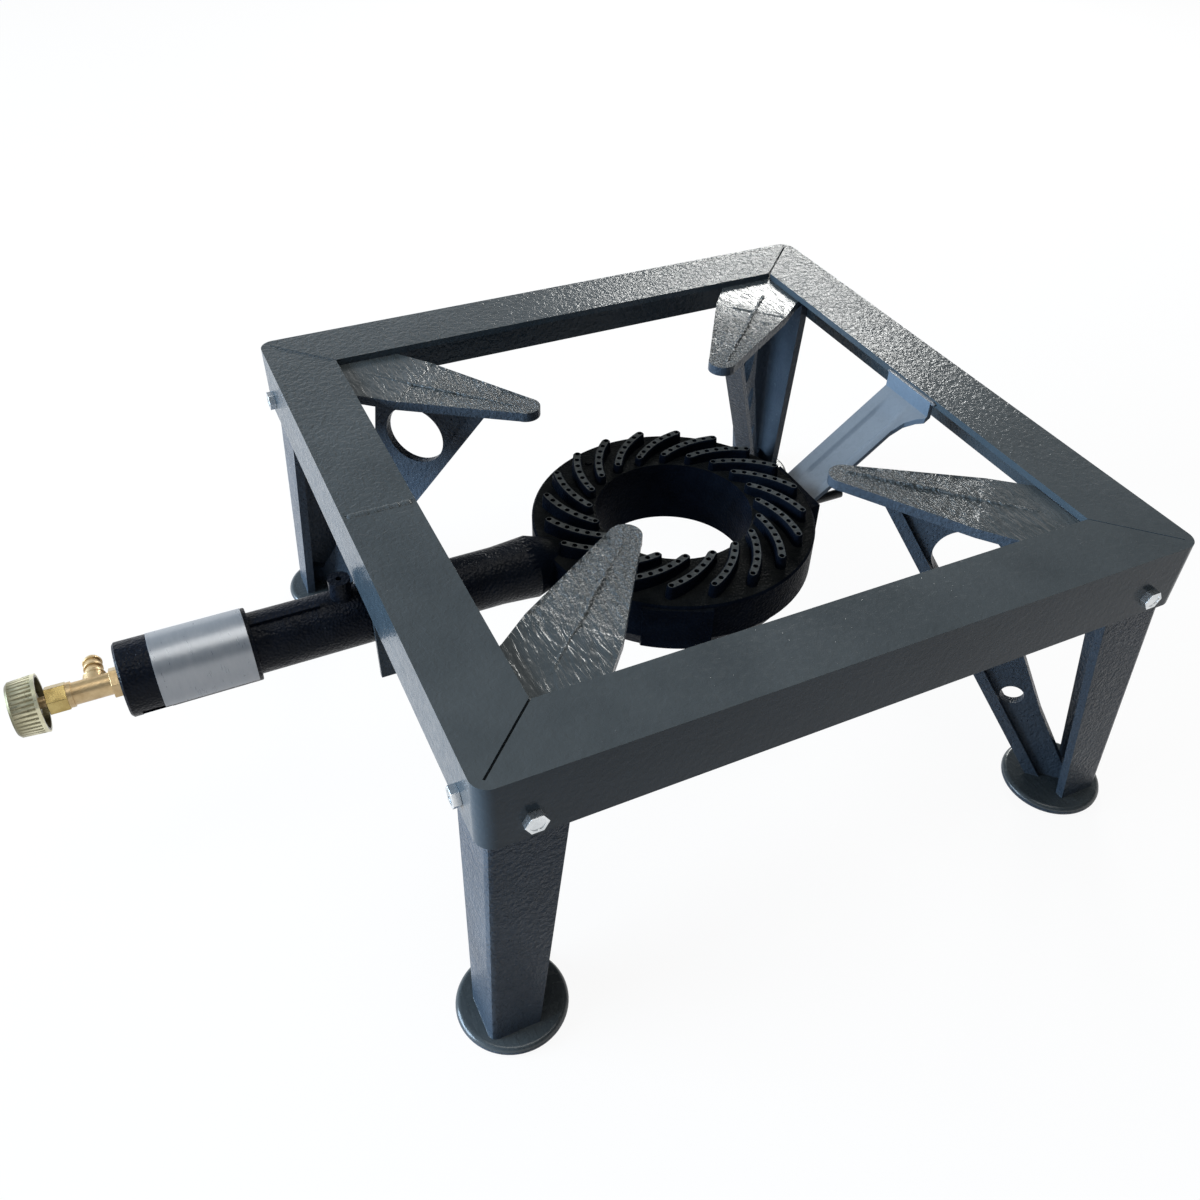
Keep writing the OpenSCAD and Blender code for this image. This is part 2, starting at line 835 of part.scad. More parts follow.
module strap_nut() placed() color(black_iron) {
    translate([lug_x + strap_t, strap_bolt_y, strap_bolt_z]) rotate([0, 90, 0]) difference() {
        hex_bar(bolt_af, strap_nut_h);
        translate([0, 0, -1]) cylinder(h = strap_nut_h + 2, r = bolt_r + thread_gap);
    }
}

// Bracket that straddles the gas tube inside the left skirt

module tube_bracket() placed() color(iron) difference() {
    translate([bracket_x0, -bracket_in - bracket_t, bracket_low_z])
        cube([bracket_w, 2 * (bracket_in + bracket_t), bracket_top_z - bracket_low_z]);
    translate([bracket_x0 - 1, -bracket_in, bracket_low_z - 1])
        cube([bracket_w + 2, 2 * bracket_in, bracket_top_z - bracket_low_z + 1 - bracket_t]);
    translate([bracket_bolt_x, bracket_in + bracket_t + 1, bracket_bolt_z])
        rotate([90, 0, 0])
            cylinder(h = 2 * (bracket_in + bracket_t) + 2, r = bolt_r + bolt_gap / 2);
}

module bracket_bolt() placed() color(zinc) {
    translate([bracket_bolt_x, bracket_in + bracket_t, bracket_bolt_z]) rotate([90, 0, 0]) {
        translate([0, 0, -bolt_head_h]) hex_bar(bolt_af, bolt_head_h);
        translate([0, 0, -1])
            cylinder(h = 1 + 2 * (bracket_in + bracket_t) + bolt_nut_h + 2, r = bolt_r);
    }
}

module bracket_nut() placed() color(zinc) {
    translate([bracket_bolt_x, -bracket_in - bracket_t, bracket_bolt_z])
        rotate([90, 0, 0]) difference() {
            hex_bar(bolt_af, bolt_nut_h);
            translate([0, 0, -1]) cylinder(h = bolt_nut_h + 2, r = bolt_r + thread_gap);
        }
}

// Label

// a sector of the sleeve's skin between two angles, both above the front level
module label_plate() placed() color(silver) intersection() {
    difference() {
        tube_part(label_x - label_len / 2, label_len, sleeve_r + label_t, sleeve_r + label_t);
        tube_part(label_x - label_len / 2 - 1, label_len + 2,
            sleeve_r + glue_gap, sleeve_r + glue_gap);
    }
    translate([label_x - label_len / 2, 0, tube_z]) rotate([90, 0, 90])
        linear_extrude(label_len) polygon([
            [0, 0],
            [-30 * cos(label_low), 30 * sin(label_low)],
            [-42, 10],
            [-36, 36],
            [0, 42],
            [-30 * cos(label_high), 30 * sin(label_high)]
        ]);
}

// Valve

module jam_nut() placed() color(brass) {
    translate([sleeve_x0 - jam_h, 0, tube_z]) rotate([0, 90, 0]) difference() {
        hex_bar(jam_af, jam_h);
        translate([0, 0, -1]) cylinder(h = jam_h + 2, r = nose_r + thread_gap);
    }
}

module valve_body() placed() color(brass) difference() {
    union() {
        tube_part(valve_x0, valve_len, valve_r, valve_r);
        tube_part(valve_x0 - neck_len, neck_len + 1, neck_r, neck_r);
        tube_part(valve_x1 - 1, nose_end - valve_x1 + 1, nose_r, nose_r);
        // boss under the hose barb
        at_barb() cylinder(h = barb_seat, r = barb_r + 0.7);
        // raised collar beside the gland
        tube_part(valve_x0, 2.5, valve_r + 0.8, valve_r + 0.8);
    }
    // spindle chamber, from the neck to the seat
    tube_part(valve_x0 - neck_len - 1, seat_x - valve_x0 + neck_len + 1, chamber_r, chamber_r);
    // gas way from the seat to the jet
    tube_part(seat_x - eps, nose_end - seat_x + 1, seat_r, seat_r);
    tube_part(nose_end - 6, 7, 2.5 + thread_gap, 2.5 + thread_gap);
    // hole for the barb's thread, and its way into the chamber
    at_barb() translate([0, 0, barb_in - 1]) cylinder(h = 12, r = barb_thread_r + thread_gap);
    at_barb() cylinder(h = 10, r = barb_bore_r);
}

module hose_barb() placed() color(brass) at_barb() translate([0, 0, barb_seat]) rotate_extrude()
    polygon([
        [barb_bore_r, barb_in - barb_seat],
        [barb_thread_r, barb_in - barb_seat],
        [barb_thread_r, 0],
        [barb_collar_r, 0],
        [barb_collar_r, barb_collar_h],
        [barb_root_r, barb_collar_h],
        [barb_root_r, barb_first],
        [barb_r, barb_first],
        [barb_r, barb_first + barb_land],
        [barb_root_r, barb_first + barb_pitch],
        [barb_r, barb_first + barb_pitch],
        [barb_r, barb_first + barb_pitch + barb_land],
        [barb_root_r, barb_first + 2 * barb_pitch],
        [barb_r, barb_first + 2 * barb_pitch],
        [barb_r, barb_first + 2 * barb_pitch + barb_land],
        [barb_root_r, barb_len - 0.5],
        [barb_root_r - 0.5, barb_len],
        [barb_bore_r, barb_len]
    ]);

module injector() placed() color(brass) difference() {
    union() {
        tube_part(nose_end - 5, 6.5, 2.5, 2.5);
        translate([nose_end + 1, 0, tube_z]) rotate([0, 90, 0]) hex_bar(8, 5);
        tube_part(nose_end + 6 - eps, 6, 3.4, 1.8);
    }
    tube_part(nose_end - 6, 15, 1.1, 1.1);
    tube_part(nose_end + 8, 6, 0.6, 0.6);
}

module injector_seal() placed() color([0.72, 0.45, 0.30]) difference() {
    tube_part(nose_end, 1, 4.2, 4.2);
    tube_part(nose_end - 1, 3, 2.5 + thread_gap, 2.5 + thread_gap);
}

module packing_nut() placed() color(brass) difference() {
    translate([pack_x0, 0, tube_z]) rotate([0, 90, 0]) hex_bar(pack_af, pack_h);
    tube_part(valve_x0 - neck_len - packing_t, neck_len + packing_t + 1,
        neck_r + thread_gap, neck_r + thread_gap);
    tube_part(pack_x0 - 1, pack_h, spindle_r + run_gap, spindle_r + run_gap);
}

module spindle_packing() placed() color([0.85, 0.85, 0.80]) difference() {
    tube_part(valve_x0 - neck_len - packing_t, packing_t, neck_r, neck_r);
    tube_part(valve_x0 - neck_len - packing_t - 1, packing_t + 2,
        spindle_r + run_gap, spindle_r + run_gap);
}

module valve_spindle() placed() color(brass) difference() {
    union() {
        tube_part(spindle_end_x, seat_x - 4 - spindle_end_x, spindle_r, spindle_r);
        tube_part(seat_x - 4 - eps, 3.5, spindle_r, 0.8);
    }
    tube_part(spindle_end_x - 1, 8, knob_screw_r + run_gap, knob_screw_r + run_gap);
}

// Knob: a fluted cup, open toward the valve

module control_knob() placed() color(nickel) difference() {
    union() {
        difference() {
            union() {
                tube_part(knob_end_x, 1.2, knob_end_r - 1.2, knob_end_r);
                tube_part(knob_end_x + 1.2 - eps, knob_depth - 1.2 + eps, knob_end_r, knob_r);
            }
            tube_part(knob_end_x + knob_wall, knob_depth,
                knob_end_r - knob_wall, knob_r - knob_wall);
        }
        tube_part(knob_end_x + 1, knob_depth - 3, hub_r, hub_r);
    }
    // flutes
    for (i = [0:flute_count - 1]) {
        translate([0, 0, tube_z]) rotate([360 / flute_count * i, 0, 0])
            translate([knob_end_x + 1.6, 0, (knob_r + knob_end_r) / 2 + 0.25])
                rotate([0, 90, 0]) cylinder(h = knob_depth - 3.4, r = flute_r, $fn = 24);
    }
    // hole for the spindle, and for the screw in the closed end
    tube_part(spindle_end_x - run_gap, knob_depth, hub_bore_r, hub_bore_r);
    tube_part(knob_end_x - 1, 6, knob_screw_r + thread_gap, knob_screw_r + thread_gap);
    tube_part(knob_end_x - 1, 2.2, knob_screw_head_r + bolt_gap, knob_screw_head_r + bolt_gap);
}

module knob_screw() placed() color(zinc) difference() {
    union() {
        tube_part(knob_end_x + 0.2, 1, knob_screw_head_r, knob_screw_head_r);
        tube_part(knob_end_x + 0.5, 8, knob_screw_r, knob_screw_r);
    }
    translate([knob_end_x - 0.6, -knob_screw_head_r - 1, tube_z - 0.4])
        cube([1.3, 2 * knob_screw_head_r + 2, 0.8]);
}

top_frame();
frame_weld();
leg_front_left();
leg_front_right();
leg_back_right();
leg_back_left();
leg_bolts();
leg_nuts();
burner_body();
burner_base();
base_screws();
rear_strap();
strap_bolt();
strap_nut();
tube_bracket();
bracket_bolt();
bracket_nut();
label_plate();
injector();
injector_seal();
jam_nut();
valve_body();
hose_barb();
packing_nut();
spindle_packing();
valve_spindle();
control_knob();
knob_screw();
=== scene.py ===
import json
import math
import random

import bmesh
import bpy
from mathutils import Matrix, Vector, noise


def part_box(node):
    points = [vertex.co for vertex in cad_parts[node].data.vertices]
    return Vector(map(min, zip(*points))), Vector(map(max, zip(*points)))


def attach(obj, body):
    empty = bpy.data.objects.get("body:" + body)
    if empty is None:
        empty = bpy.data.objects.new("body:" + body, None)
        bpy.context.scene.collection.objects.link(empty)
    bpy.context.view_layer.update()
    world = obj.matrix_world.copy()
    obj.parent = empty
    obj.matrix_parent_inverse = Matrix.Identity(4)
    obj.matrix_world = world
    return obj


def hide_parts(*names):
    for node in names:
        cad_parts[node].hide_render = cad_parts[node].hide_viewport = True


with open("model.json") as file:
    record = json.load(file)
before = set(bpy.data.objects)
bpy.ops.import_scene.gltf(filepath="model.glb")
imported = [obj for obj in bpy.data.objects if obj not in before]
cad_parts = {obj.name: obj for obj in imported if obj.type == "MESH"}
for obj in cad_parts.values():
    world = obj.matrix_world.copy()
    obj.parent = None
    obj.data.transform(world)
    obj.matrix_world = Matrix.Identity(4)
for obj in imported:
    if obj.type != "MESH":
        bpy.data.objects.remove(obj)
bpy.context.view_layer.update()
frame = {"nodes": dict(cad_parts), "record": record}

NODES = frame["nodes"]
BODY_OF = {n: b for b, names in frame["record"]["behaviour"]["bodies"].items() for n in names}
SLOT_OF = {s["node"]: s["material_slot"] for s in frame["record"]["subparts"]}
MM = 0.001
UP = Vector((0, 0, 1))


# Sizes of the CAD forms that their boxes don't give

IRON_T = 4 * MM
RIB_DROP = 50 * MM
FINGER_TIP = 88 * MM
FINGER_ROOT = 218 * MM
# the tops of the feet are lower than this
FEET_BELOW = 15 * MM


# Sizes and places, taken from the frame

def span(node):
    low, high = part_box(node)
    return Vector(low), Vector(high)


frame_low, frame_high = span("top_frame")
knob_low, knob_high = span("control_knob")
strap_low, strap_high = span("rear_strap")
CENTRE_X = (frame_low.x + frame_high.x) / 2
HALF = (frame_high.x - frame_low.x) / 2
TOP_Z = frame_high.z
RAIL = TOP_Z - frame_low.z
INNER = HALF - RAIL
FLANGE_Z = TOP_Z - IRON_T
RIB_TOP_Z = TOP_Z - RIB_DROP
RING_R = span("burner_base")[1].y
TUBE_Z = (knob_low.z + knob_high.z) / 2
KNOB_R = knob_high.z - TUBE_Z


# Sizes of what is added to the CAD forms

FINGER_RELIEF = 2.2 * MM
LEG_CHAMFER = 5 * MM
LEG_EDGE = 1.2 * MM
GRID_STEP = 1.6 * MM
STRAP_EDGE = 0.8 * MM
RAIL_WELD_Y = -1.8 * MM
WELD_INSET = 2.5 * MM
TAB_WELD_INSET = 1.2 * MM


# Node helpers for materials

def new_material(name):
    mat = bpy.data.materials.new(name)
    mat.use_nodes = True
    tree = mat.node_tree
    tree.nodes.clear()
    out = tree.nodes.new("ShaderNodeOutputMaterial")
    shader = tree.nodes.new("ShaderNodeBsdfPrincipled")
    tree.links.new(shader.outputs["BSDF"], out.inputs["Surface"])
    return mat, tree, shader


def coords(tree):
    return tree.nodes.new("ShaderNodeTexCoord").outputs["Object"]


def split(tree, vector):
    n = tree.nodes.new("ShaderNodeSeparateXYZ")
    tree.links.new(vector, n.inputs[0])
    return n.outputs


def facing_up(tree, start, end):
    """0 on faces whose normal's height is below start, 1 above end."""
    normal = tree.nodes.new("ShaderNodeNewGeometry").outputs["Normal"]
    return step_map(tree, split(tree, normal)[2], start, end)


def mapped(tree, vector, scale, turn=0.0):
    m = tree.nodes.new("ShaderNodeMapping")
    m.inputs["Rotation"].default_value = (0, 0, turn)
    m.inputs["Scale"].default_value = scale
    tree.links.new(vector, m.inputs["Vector"])
    return m.outputs["Vector"]


def noise_tex(tree, vector, scale, detail=3.0, rough=0.5, distort=0.0):
    n = tree.nodes.new("ShaderNodeTexNoise")
    n.inputs["Scale"].default_value = scale
    n.inputs["Detail"].default_value = detail
    n.inputs["Roughness"].default_value = rough
    n.inputs["Distortion"].default_value = distort
    tree.links.new(vector, n.inputs["Vector"])
    return n.outputs["Fac"]


def voronoi(tree, vector, scale):
    """The distance from the nearest of many scattered spots."""
    n = tree.nodes.new("ShaderNodeTexVoronoi")
    n.feature = "F1"
    n.inputs["Scale"].default_value = scale
    tree.links.new(vector, n.inputs["Vector"])
    return n.outputs["Distance"]


def math_node(tree, op, a, b=None):
    n = tree.nodes.new("ShaderNodeMath")
    n.operation = op
    for i, v in enumerate((a, b)):
        if v is None:
            continue
        if isinstance(v, (int, float)):
            n.inputs[i].default_value = v
        else:
            tree.links.new(v, n.inputs[i])
    return n.outputs[0]


def times(tree, a, b):
    return math_node(tree, "MULTIPLY", a, b)


def distance(tree, a, b):
    """How far away a point is that lies a one way and b square to it."""
    return math_node(tree, "SQRT", math_node(tree, "ADD", times(tree, a, a), times(tree, b, b)))


def reach_from_burner(tree, x, y):
    return distance(tree, math_node(tree, "SUBTRACT", x, CENTRE_X), y)


def step_map(tree, value, start, end, at_start=0.0, at_end=1.0):
    """Runs from at_start to at_end while value goes from start to end, and stays level outside."""
    n = tree.nodes.new("ShaderNodeMapRange")
    for key, v in (("From Min", start), ("From Max", end), ("To Min", at_start), ("To Max", at_end)):
        n.inputs[key].default_value = v
    tree.links.new(value, n.inputs["Value"])
    return n.outputs["Result"]


def ramp(tree, value, *stops):
    """stops: (place from 0 to 1, colour), from low to high."""
    n = tree.nodes.new("ShaderNodeValToRGB")
    marks = n.color_ramp.elements
    for mark, (place, colour) in ((marks[0], stops[0]), (marks[1], stops[-1])):
        mark.position = place
        mark.color = (*colour, 1)
    for place, colour in stops[1:-1]:
        marks.new(place).color = (*colour, 1)
    tree.links.new(value, n.inputs["Fac"])
    return n.outputs["Color"]


def mix_colour(tree, share, a, b):
    n = tree.nodes.new("ShaderNodeMix")
    n.data_type = "RGBA"
    tree.links.new(share, n.inputs["Factor"])
    for key, v in (("A", a), ("B", b)):
        socket = [i for i in n.inputs if i.name == key and i.type == "RGBA"][0]
        if isinstance(v, tuple):
            socket.default_value = (*v, 1)
        else:
            tree.links.new(v, socket)
    return [o for o in n.outputs if o.type == "RGBA"][0]


def tinted(colour, tint):
    return tuple(c * t for c, t in zip(colour, tint))


def grey(level):
    return (level, level, level)


def set_colour(tree, shader, colour):
    tree.links.new(colour, shader.inputs["Base Color"])


def set_roughness(tree, shader, value, first, last):
    """first, last: (place, roughness), the ends of a ramp over value."""
    level = ramp(tree, value, (first[0], grey(first[1])), (last[0], grey(last[1])))
    tree.links.new(level, shader.inputs["Roughness"])


def bump(tree, shader, *layers):
    """layers: (height, its distance in metres, strength), the last one on top."""
    normal = None
    for height, distance_m, strength in layers:
        n = tree.nodes.new("ShaderNodeBump")
        n.inputs["Distance"].default_value = distance_m
        n.inputs["Strength"].default_value = strength
        tree.links.new(height, n.inputs["Height"])
        if normal is not None:
            tree.links.new(normal, n.inputs["Normal"])
        normal = n.outputs["Normal"]
    tree.links.new(normal, shader.inputs["Normal"])


# Materials

# painted shade and bluish light: darkens and blues the colour of upright faces
PAINTED_SIDE_LIGHT_TINT = (0.72, 0.86, 1.0)
# painted shade: the tone deep in the knob's grooves
GROOVE_SHADE_TINT = (0.22, 0.20, 0.15)


def paint(name, dark, light, peel_scale, peel_strength, rough):
    """Gloss enamel on steel: slight changes of tone, specks, and orange peel that is strong toward the
    back right and back left corners. Upright faces are darker and bluer: painted shade and bluish light."""
    mat, tree, shader = new_material(name)
    place = coords(tree)
    tone = noise_tex(tree, place, scale=22, detail=4, rough=0.55)
    level = ramp(tree, tone, (0.30, dark), (0.72, light))
    # painted shade and bluish light on upright faces: a darker, bluer copy of the colour
    painted_side_light = ramp(tree, tone, (0.30, tinted(dark, PAINTED_SIDE_LIGHT_TINT)), (0.72, tinted(light, PAINTED_SIDE_LIGHT_TINT)))
    set_colour(tree, shader, mix_colour(tree, facing_up(tree, 0.35, 0.85), painted_side_light, level))
    fine = noise_tex(tree, place, scale=260, detail=2, distort=0.4)
    set_roughness(tree, shader, fine, (0.30, rough - 0.06), (0.75, rough + 0.10))
    shader.inputs["Specular IOR Level"].default_value = 0.12
    x, y, _ = split(tree, place)
    rel_x = math_node(tree, "SUBTRACT", x, CENTRE_X)
    to_back_right = math_node(tree, "ADD", rel_x, y)
    to_back_left = math_node(tree, "SUBTRACT", y, rel_x)
    peel = math_node(tree, "MAXIMUM", step_map(tree, to_back_right, 0.1 * HALF, 1.5 * HALF, 0.18, 1.0),
                     step_map(tree, to_back_left, 0.1 * HALF, 1.6 * HALF, 0.18, 0.75))
    swell = noise_tex(tree, place, scale=60, detail=2)
    coarse = noise_tex(tree, place, scale=peel_scale, detail=2, distort=0.6)
    small = noise_tex(tree, place, scale=peel_scale * 2.6, detail=2, rough=0.6)
    specks = step_map(tree, voronoi(tree, place, scale=210), 0.10, 0.02)
    bump(tree, shader,
         (swell, 0.6 * MM, 0.20),
         (times(tree, peel, coarse), 1.0 * MM, peel_strength),
         (times(tree, peel, small), 0.4 * MM, peel_strength * 0.7),
         (specks, 0.3 * MM, 0.25))
    return mat


def leg_paint(name):
    """Thick gloss enamel on the legs' sides, over the grain of the sand casting."""
    mat, tree, shader = new_material(name)
    place = coords(tree)
    tone = noise_tex(tree, place, scale=26, detail=4, rough=0.55)
    # painted bluish light: the blue tint of the legs' upright sides; the finger tops, in finger_paint, are
    # greyer
    set_colour(tree, shader, ramp(tree, tone, (0.30, (0.040, 0.054, 0.072)), (0.72, (0.066, 0.083, 0.104))))
    fine = noise_tex(tree, place, scale=300, detail=2, distort=0.4)
    set_roughness(tree, shader, fine, (0.30, 0.12), (0.75, 0.28))
    shader.inputs["Specular IOR Level"].default_value = 0.08
    swell = noise_tex(tree, place, scale=55, detail=2)
    hammered = noise_tex(tree, place, scale=430, detail=3, rough=0.6)
    spots = step_map(tree, voronoi(tree, place, scale=330), 0.16, 0.04)
    bump(tree, shader, (swell, 1.0 * MM, 0.40), (hammered, 1.6 * MM, 0.75), (spots, 0.7 * MM, 0.90))
    return mat


def finger_paint(name, turn):
    """The fingers' tops: glossier and greyer, rippled across their length, and pebbled toward the
    tip, where the paint is thin. turn lays the ripples square to the finger."""
    mat, tree, shader = new_material(name)
    place = coords(tree)
    x, y, z = split(tree, place)
    reach = reach_from_burner(tree, x, y)
    near_tip = step_map(tree, reach, FINGER_ROOT - 33 * MM, FINGER_TIP + 17 * MM)
    calm_root = step_map(tree, reach, FINGER_TIP + 42 * MM, FINGER_ROOT - 18 * MM, 1.0, 0.30)
    high = step_map(tree, z, FLANGE_Z - 30 * MM, FLANGE_Z - 15 * MM, 0.25, 1.0)
    tone = noise_tex(tree, place, scale=26, detail=4, rough=0.55)
    set_colour(tree, shader, ramp(tree, tone, (0.30, (0.040, 0.048, 0.050)), (0.72, (0.064, 0.074, 0.078))))
    fine = noise_tex(tree, place, scale=300, detail=2, distort=0.4)
    set_roughness(tree, shader, fine, (0.30, 0.20), (0.75, 0.32))
    shader.inputs["Specular IOR Level"].default_value = 0.48
    swell = noise_tex(tree, place, scale=55, detail=2)
    ripple = noise_tex(tree, mapped(tree, place, (330, 70, 240), turn), scale=1.0, detail=2, distort=0.5)
    pebble = noise_tex(tree, place, scale=520, detail=3, rough=0.6, distort=0.5)
    bump(tree, shader,
         (swell, 1.0 * MM, 0.40),
         (times(tree, times(tree, calm_root, high), ripple), 3.0 * MM, 0.90),
         (times(tree, near_tip, pebble), 3.4 * MM, 1.0))
    return mat


def burner_iron(name, specular):
    """Satin black casting: grey, brushed rib tops, duller deck, pitted walls whose bluer tone is a painted
    bluish sheen.
    """
    mat, tree, shader = new_material(name)
    place = coords(tree)
    x, y, z = split(tree, place)
    on_ring = step_map(tree, reach_from_burner(tree, x, y), RING_R + 4 * MM, RING_R)
    on_deck = times(tree, on_ring, facing_up(tree, 0.75, 0.95))
    on_rib = times(tree, on_deck, step_map(tree, z, RIB_TOP_Z - 1.2 * MM, RIB_TOP_Z - 0.4 * MM))
    tone = noise_tex(tree, place, scale=90, detail=5, rough=0.65)
    brushed = noise_tex(tree, place, scale=160, detail=4, rough=0.6)
    # painted bluish sheen: the walls are bluer than the deck
    wall = ramp(tree, tone, (0.35, (0.0025, 0.0040, 0.0075)), (0.75, (0.006, 0.009, 0.016)))
    deck = ramp(tree, tone, (0.30, (0.004, 0.005, 0.006)), (0.75, (0.014, 0.015, 0.015)))
    rib = ramp(tree, brushed, (0.30, (0.040, 0.043, 0.043)), (0.70, (0.078, 0.083, 0.082)))
    set_colour(tree, shader, mix_colour(tree, on_rib, mix_colour(tree, on_deck, wall, deck), rib))
    fine = noise_tex(tree, place, scale=400, detail=2, rough=0.6)
    set_roughness(tree, shader, fine, (0.30, 0.26), (0.80, 0.50))
    shader.inputs["Specular IOR Level"].default_value = specular
    skin = noise_tex(tree, place, scale=180, detail=4, rough=0.65)
    pits = step_map(tree, voronoi(tree, place, scale=260), 0.14, 0.03)
    bump(tree, shader,
         (skin, 1.0 * MM, 0.45), (voronoi(tree, place, scale=620), 0.6 * MM, 0.55), (pits, 0.6 * MM, 0.7))
    return mat


def dull(name, dark, light, rough):
    """A dull, grainy surface with slight changes of tone: blackened steel, or packing cord."""
    mat, tree, shader = new_material(name)
    place = coords(tree)
    tone = noise_tex(tree, place, scale=90, detail=5, rough=0.65)
    set_colour(tree, shader, ramp(tree, tone, (0.35, dark), (0.75, light)))
    fine = noise_tex(tree, place, scale=400, detail=2, rough=0.6)
    set_roughness(tree, shader, fine, (0.30, rough - 0.10), (0.80, rough + 0.12))
    shader.inputs["Specular IOR Level"].default_value = 0.55
    skin = noise_tex(tree, place, scale=180, detail=4, rough=0.65)
    bump(tree, shader, (skin, 0.8 * MM, 0.45), (voronoi(tree, place, scale=900), 0.3 * MM, 0.35))
    return mat


def metal(name, light, dark, rough, scratch, scale, grime, groove=None):
    """Satin metal. grime takes away from its metallic shine. groove: (radius about the knob's axis,
    depth), inside which the tone is darkened to a painted shade."""
    mat, tree, shader = new_material(name)
    place = coords(tree)
    tone = noise_tex(tree, place, scale=120, detail=4, rough=0.6)
    body = ramp(tree, tone, (0.30, dark), (0.65, light))
    if groove:
        _, y, z = split(tree, place)
        out = distance(tree, y, math_node(tree, "SUBTRACT", z, TUBE_Z))
        outside_groove = step_map(tree, out, groove[0] - groove[1], groove[0])
        # painted shade: the colour darkens deep in the grooves
        body = mix_colour(tree, outside_groove, tinted(dark, GROOVE_SHADE_TINT), body)
    set_colour(tree, shader, body)
    shader.inputs["Metallic"].default_value = 1.0 - grime
    fine = noise_tex(tree, place, scale=scale, detail=3, rough=0.6)
    set_roughness(tree, shader, fine, (0.30, rough - 0.08), (0.80, rough + 0.14))
    bump(tree, shader, (fine, 0.2 * MM, scratch))
    return mat


def label_material(name):
    """Bare satin silver, brushed round the sleeve."""
    mat, tree, shader = new_material(name)
    place = coords(tree)
    lines = noise_tex(tree, mapped(tree, place, (380, 90, 90)), scale=1.0, detail=3, rough=0.6)
    set_colour(tree, shader, ramp(tree, lines, (0.3, (0.33, 0.345, 0.365)), (0.7, (0.39, 0.40, 0.415))))
    shader.inputs["Metallic"].default_value = 0.45
    set_roughness(tree, shader, lines, (0.3, 0.26), (0.8, 0.36))
    bump(tree, shader, (noise_tex(tree, place, scale=60, detail=2), 0.6 * MM, 0.25), (lines, 0.05 * MM, 0.15))
    return mat


MATS = {
    "frame_paint": paint(
        "frame_paint", dark=(0.057, 0.064, 0.066), light=(0.074, 0.082, 0.084),
        peel_scale=300, peel_strength=0.85, rough=0.18),
    "strap_paint": paint(
        "strap_paint", dark=(0.150, 0.160, 0.172), light=(0.198, 0.212, 0.226),
        peel_scale=200, peel_strength=0.35, rough=0.28),
    "leg_paint": leg_paint("leg_paint"),
    "finger_paint": finger_paint("finger_paint", turn=math.radians(-45)),
    "finger_paint_across": finger_paint("finger_paint_across", turn=math.radians(45)),
    "black_casting": burner_iron("black_casting", specular=0.006),
    "tube_casting": burner_iron("tube_casting", specular=0.11),
    "black_steel": dull("black_steel", dark=(0.005, 0.005, 0.005), light=(0.012, 0.012, 0.013), rough=0.38),
    "packing": dull("packing", dark=(0.50, 0.50, 0.47), light=(0.60, 0.60, 0.56), rough=0.7),
    "zinc": metal(
        "zinc", light=(0.78, 0.80, 0.81), dark=(0.58, 0.61, 0.63),
        rough=0.22, scratch=0.2, scale=700, grime=0.12),
    "brass": metal(
        "brass", light=(0.74, 0.55, 0.30), dark=(0.54, 0.37, 0.18),
        rough=0.36, scratch=0.10, scale=600, grime=0.40),
    "brass_gold": metal(
        "brass_gold", light=(0.56, 0.43, 0.17), dark=(0.36, 0.25, 0.08),
        rough=0.24, scratch=0.04, scale=300, grime=0.20),
    "nickel": metal(
        "nickel", light=(0.86, 0.80, 0.56), dark=(0.56, 0.52, 0.34),
        rough=0.32, scratch=0.25, scale=420, grime=0.30, groove=(KNOB_R - 0.45 * MM, 0.6 * MM)),
    "label_silver": label_material("label_silver"),
}
SPECIAL_MATERIAL = {"rear_strap": "strap_paint", "packing_nut": "brass_gold"}

# each leg's corner, from the frame's middle
LEG_CORNER = {
    "leg_front_left": (-1, -1),
    "leg_front_right": (1, -1),
    "leg_back_right": (1, 1),
    "leg_back_left": (-1, 1),
}
FINGER_MATERIAL = {node: "finger_paint" if x == y else "finger_paint_across"
                   for node, (x, y) in LEG_CORNER.items()}


def on_finger_top(at, normal):
    """Also the tops of the feet, which shine as the fingers do."""
    return normal.z > 0.3 and (at.z > FLANGE_Z - FINGER_RELIEF or at.z < FEET_BELOW)


def on_tube(at, normal):
    return math.hypot(at.x - CENTRE_X, at.y) > RING_R + 12 * MM


# Mesh helpers

def finish_piece(name, bm, node, material=None, angle=35, replaces=(), second=None):
    """second: (material, test), for the faces whose centre and normal pass the test."""
    mesh = bpy.data.meshes.new(name)
    bm.normal_update()
    if second:
        for f in bm.faces:
            f.material_index = int(second[1](f.calc_center_median(), f.normal))
    bm.to_mesh(mesh)
    bm.free()
    mesh.shade_smooth()
    mesh.set_sharp_from_angle(angle=math.radians(angle))
    obj = bpy.data.objects.new(name, mesh)
    bpy.context.scene.collection.objects.link(obj)
    mesh.materials.append(MATS[material or SPECIAL_MATERIAL.get(node) or SLOT_OF[node]])
    if second:
        mesh.materials.append(MATS[second[0]])
    flat = obj.modifiers.new("flat_faces", "WEIGHTED_NORMAL")
    flat.mode = "FACE_AREA"
    flat.weight = 100
    flat.keep_sharp = True
    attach(obj, BODY_OF[node])
    if replaces:
        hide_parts(*replaces)


def node_bmesh(node):
    """A clean copy of a CAD node's faces: shared corners merged, flat faces joined."""
    bm = bmesh.new()
    bm.from_mesh(NODES[node].data)
    bmesh.ops.remove_doubles(bm, verts=bm.verts, dist=0.002 * MM)
    bmesh.ops.dissolve_degenerate(bm, dist=0.001 * MM, edges=bm.edges)
    bmesh.ops.dissolve_limit(bm, angle_limit=math.radians(0.6), verts=bm.verts, edges=bm.edges)
    return bm


